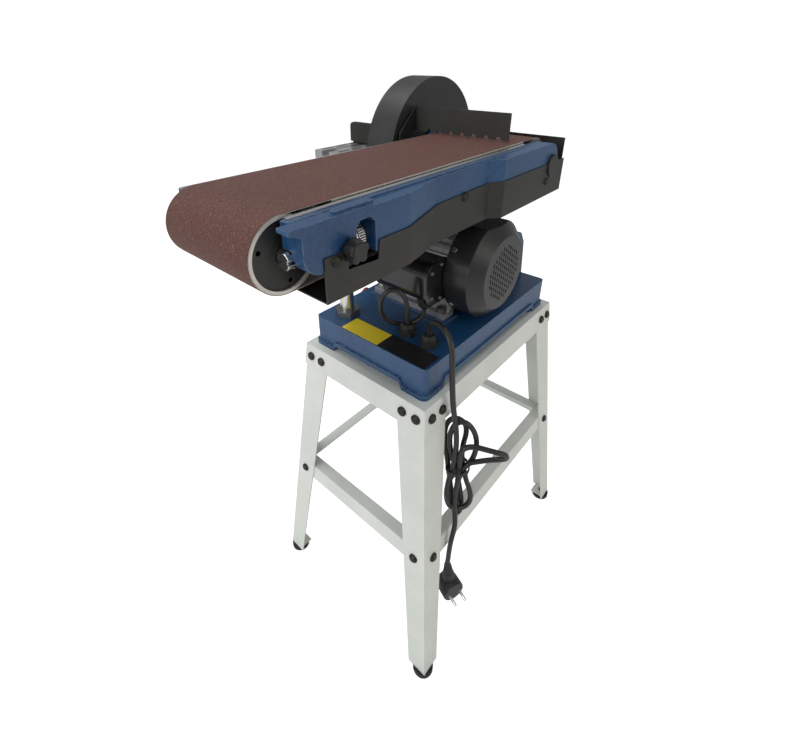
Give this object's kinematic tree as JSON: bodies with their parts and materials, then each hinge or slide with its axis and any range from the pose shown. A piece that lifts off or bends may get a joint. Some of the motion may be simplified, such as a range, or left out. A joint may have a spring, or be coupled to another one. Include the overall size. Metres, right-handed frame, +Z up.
{
  "type": "belt disc sander",
  "caption": "Floor-standing belt and disc sander: a long belt arm that swings upright, a guarded disc with tilting table, motor on a cast base and splayed sheet stand.",
  "frame": {"origin": "on the floor, below the middle of the machine's outside seen from above, measured without the free mains cord", "axes": "+Z up, +X along the sanding belt from the idler drum to the drive drum, +Y along the drum axes towards the sanding disc"},
  "size_m": [0.6505, 0.5349, 0.909],
  "materials": {
    "top_rails": "satin powder coat",
    "legs": "satin powder coat",
    "stretchers": "satin powder coat",
    "rubber_feet": "matt",
    "stand_bolts": "blackened",
    "base_casting": "hammered enamel",
    "machine_fasteners": "zinc plated",
    "rest_post": "ground",
    "cable_glands": "moulded",
    "yellow_plate": "printed film, blank",
    "black_plate": "printed film, blank",
    "switch_box": "moulded",
    "motor_housing": "cast",
    "motor_stator": "laminated",
    "shaft_bearings": "ground",
    "fan_cover": "semi-gloss",
    "terminal_box": "moulded",
    "pedestal": "hammered enamel",
    "drive_belt": "matt",
    "drive_case": "satin",
    "disc_guard": "satin",
    "table_brackets": "satin",
    "motor_lead": "sheathed",
    "mains_cord": "sheathed",
    "cord_hank": "sheathed",
    "mains_plug": "moulded",
    "plug_pins": "nickel",
    "spindle": "ground",
    "drive_drum": "turned",
    "drive_pulley": "turned",
    "disc_plate": "turned",
    "abrasive_disc": "aluminium oxide grit",
    "motor_shaft": "ground",
    "cooling_fan": "moulded",
    "motor_pulley": "turned",
    "cheek_near": "hammered enamel",
    "cheek_far": "hammered enamel",
    "platen": "ground",
    "edge_strips": "machined",
    "abrasive_belt": "aluminium oxide grit",
    "near_bearing": "ground",
    "dust_tray": "satin",
    "arm_screws": "blackened",
    "spindle_cap": "moulded",
    "work_stop": "satin",
    "tension_spring": "spring steel",
    "idler_carriage": "plated",
    "idler_drum": "satin",
    "idler_bearings": "ground",
    "tension_wheel": "knurled",
    "tracking_knob": "moulded",
    "disc_table": "machined",
    "table_trunnions": "satin",
    "mitre_bar": "ground",
    "mitre_head": "satin",
    "mitre_knob": "moulded",
    "table_knob_left": "moulded",
    "table_knob_right": "moulded",
    "start_button": "moulded",
    "stop_button": "moulded"
  },
  "bodies": {
    "frame": {"top_rails": "top_rails", "legs": "legs", "stretchers": "stretchers", "rubber_feet": "rubber_feet", "stand_bolts": "stand_bolts", "base_casting": "base_casting", "machine_fasteners": "machine_fasteners", "rest_post": "rest_post", "cable_glands": "cable_glands", "yellow_plate": "yellow_plate", "black_plate": "black_plate", "switch_box": "switch_box", "motor_housing": "motor_housing", "motor_stator": "motor_stator", "shaft_bearings": "shaft_bearings", "fan_cover": "fan_cover", "terminal_box": "terminal_box", "pedestal": "pedestal", "drive_belt": "drive_belt", "drive_case": "drive_case", "disc_guard": "disc_guard", "table_brackets": "table_brackets", "motor_lead": "motor_lead", "mains_cord": "mains_cord", "cord_hank": "cord_hank", "mains_plug": "mains_plug", "plug_pins": "plug_pins"},
    "spindle": {"spindle": "spindle", "drive_drum": "drive_drum", "drive_pulley": "drive_pulley", "disc_plate": "disc_plate", "abrasive_disc": "abrasive_disc"},
    "rotor": {"motor_shaft": "motor_shaft", "cooling_fan": "cooling_fan", "motor_pulley": "motor_pulley"},
    "arm": {"cheek_near": "cheek_near", "cheek_far": "cheek_far", "platen": "platen", "edge_strips": "edge_strips", "abrasive_belt": "abrasive_belt", "near_bearing": "near_bearing", "dust_tray": "dust_tray", "arm_screws": "arm_screws", "spindle_cap": "spindle_cap", "work_stop": "work_stop", "tension_spring": "tension_spring"},
    "carriage": {"idler_carriage": "idler_carriage"},
    "idler": {"idler_drum": "idler_drum", "idler_bearings": "idler_bearings"},
    "tension_wheel": {"tension_wheel": "tension_wheel"},
    "tracking_knob": {"tracking_knob": "tracking_knob"},
    "table": {"disc_table": "disc_table", "table_trunnions": "table_trunnions"},
    "mitre_bar": {"mitre_bar": "mitre_bar"},
    "mitre_head": {"mitre_head": "mitre_head"},
    "mitre_knob": {"mitre_knob": "mitre_knob"},
    "table_knob_left": {"table_knob_left": "table_knob_left"},
    "table_knob_right": {"table_knob_right": "table_knob_right"},
    "start_button": {"start_button": "start_button"},
    "stop_button": {"stop_button": "stop_button"}
  },
  "joints": [
    {"name": "arm_lift", "type": "hinge", "parent": "frame", "child": "arm", "pos_m": [0.20227, -0.07745, 0.786], "axis": [0, 1, 0], "range_deg": [0, 90]},
    {"name": "spindle_spin", "type": "hinge", "parent": "frame", "child": "spindle", "pos_m": [0.20227, 0.02255, 0.786], "axis": [0, 1, 0], "continuous": true},
    {"name": "motor_spin", "type": "hinge", "parent": "frame", "child": "rotor", "pos_m": [0.06397, -0.07745, 0.653], "axis": [0, 1, 0], "continuous": true},
    {"name": "take_up", "type": "slide", "parent": "arm", "child": "carriage", "axis": [1, 0, 0], "range_m": [0, 0.008]},
    {"name": "idler_spin", "type": "hinge", "parent": "carriage", "child": "idler", "pos_m": [-0.28678, -0.07745, 0.786], "axis": [0, 1, 0], "continuous": true},
    {"name": "tension_turn", "type": "hinge", "parent": "arm", "child": "tension_wheel", "pos_m": [-0.21602, -0.15745, 0.786], "axis": [1, 0, 0], "range_deg": [0, 1920]},
    {"name": "tracking_turn", "type": "hinge", "parent": "arm", "child": "tracking_knob", "pos_m": [-0.23802, -0.18945, 0.786], "axis": [0, 1, 0], "range_deg": [-180, 180]},
    {"name": "table_tilt", "type": "hinge", "parent": "frame", "child": "table", "pos_m": [0.20227, 0.11255, 0.752], "axis": [-1, 0, 0], "range_deg": [0, 45]},
    {"name": "table_lock_left", "type": "hinge", "parent": "frame", "child": "table_knob_left", "pos_m": [0.11727, 0.14649, 0.71806], "axis": [1, 0, 0], "range_deg": [-180, 180]},
    {"name": "table_lock_right", "type": "hinge", "parent": "frame", "child": "table_knob_right", "pos_m": [0.28727, 0.14649, 0.71806], "axis": [1, 0, 0], "range_deg": [-180, 180]},
    {"name": "mitre_slide", "type": "slide", "parent": "table", "child": "mitre_bar", "axis": [1, 0, 0], "range_m": [-0.08, 0.08]},
    {"name": "mitre_swing", "type": "hinge", "parent": "mitre_bar", "child": "mitre_head", "pos_m": [0.20497, 0.21355, 0.778], "axis": [0, 0, 1], "range_deg": [-45, 45]},
    {"name": "mitre_lock", "type": "hinge", "parent": "mitre_head", "child": "mitre_knob", "pos_m": [0.20497, 0.21355, 0.79], "axis": [0, 0, 1], "range_deg": [-180, 180]},
    {"name": "start_press", "type": "slide", "parent": "frame", "child": "start_button", "axis": [0, -1, 0], "range_m": [0, 0.0025], "stiffness_N_per_m": 400},
    {"name": "stop_press", "type": "slide", "parent": "frame", "child": "stop_button", "axis": [0, -1, 0], "range_m": [0, 0.0025], "stiffness_N_per_m": 400}
  ],
  "couplings": [
    {"joint": "motor_spin", "follows": "spindle_spin", "ratio": 1},
    {"joint": "idler_spin", "follows": "spindle_spin", "ratio": 1},
    {"joint": "take_up", "follows": "tension_turn", "m_per_rad": 0.00023873}
  ]
}
